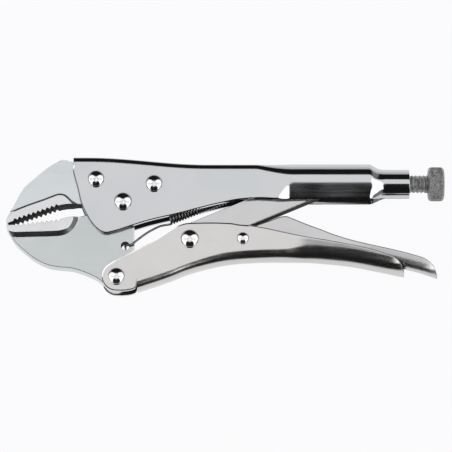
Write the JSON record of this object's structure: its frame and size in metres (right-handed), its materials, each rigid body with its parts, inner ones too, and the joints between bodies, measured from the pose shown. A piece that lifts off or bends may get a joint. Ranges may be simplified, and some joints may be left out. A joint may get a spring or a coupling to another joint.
{
  "type": "locking pliers",
  "caption": "Locking pliers with curved toothed jaws, a toggle-locked moving handle, a release lever and a knurled adjusting screw.",
  "frame": {"origin": "bottom centre of the tool as it lies on its side with the jaws closed and locked", "axes": "+X from the jaw tips to the adjusting knob, along the screw's axis; +Y from the moving handle to the fixed handle; +Z out of the side, along every pivot"},
  "size_m": [0.2298, 0.0718, 0.0181],
  "materials": {
    "handle_plate": "satin nickel plate on folded steel sheet",
    "jaw_steel": "satin nickel plate on forged steel",
    "rivet_steel": "bright peened rivet heads",
    "link_steel": "satin nickel plate on steel bar",
    "lever_steel": "satin nickel plate on stamped sheet",
    "spring_steel": "dark spring wire",
    "screw_steel": "dull grey steel, threaded and knurled"
  },
  "bodies": {
    "fixed_handle": {"upper_handle": "handle_plate", "upper_jaw": "jaw_steel", "jaw_rivet_front": "rivet_steel", "jaw_rivet_rear": "rivet_steel", "jaw_pivot_rivet": "rivet_steel", "jaw_spring": "spring_steel"},
    "moving_jaw": {"lower_jaw": "jaw_steel", "handle_pivot_rivet": "rivet_steel"},
    "moving_handle": {"lower_handle": "handle_plate", "link_pivot_rivet": "rivet_steel", "release_lever_pin": "rivet_steel"},
    "toggle": {"toggle_link": "link_steel"},
    "release": {"release_lever": "lever_steel"},
    "screw": {"adjusting_screw": "screw_steel"},
    "knob": {"screw_knob": "screw_steel"}
  },
  "joints": [
    {"name": "jaw_pivot", "type": "hinge", "parent": "fixed_handle", "child": "moving_jaw", "pos_m": [-0.0535, 0.01159, 0.00905], "axis": [0, 0, 1], "range_deg": [0, 9.6], "deforming": ["jaw_spring"]},
    {"name": "handle_pivot", "type": "hinge", "parent": "moving_jaw", "child": "moving_handle", "pos_m": [-0.0567, -0.02851, 0.00905], "axis": [0, 0, -1], "range_deg": [0, 40]},
    {"name": "link_pivot", "type": "hinge", "parent": "moving_handle", "child": "toggle", "pos_m": [-0.0185, -0.00841, 0.00905], "axis": [0, 0, 1], "range_deg": [0, 48.8]},
    {"name": "release_lever_pivot", "type": "hinge", "parent": "moving_handle", "child": "release", "pos_m": [0.0092, -0.00811, 0.00905], "axis": [0, 0, 1], "range_deg": [-1.2, 4]},
    {"name": "screw_travel", "type": "slide", "parent": "fixed_handle", "child": "screw", "axis": [1, 0, 0], "range_m": [0, 0.012]},
    {"name": "screw_turn", "type": "hinge", "parent": "screw", "child": "knob", "pos_m": [0.1064, 0.02269, 0.00905], "axis": [1, 0, 0], "range_deg": [0, 2205]}
  ],
  "couplings": [
    {"joint": "jaw_pivot", "follows": "handle_pivot", "ratio": 0.24},
    {"joint": "link_pivot", "follows": "handle_pivot", "ratio": 1.22},
    {"joint": "screw_turn", "follows": "screw_travel", "rad_per_m": 3141.6}
  ]
}
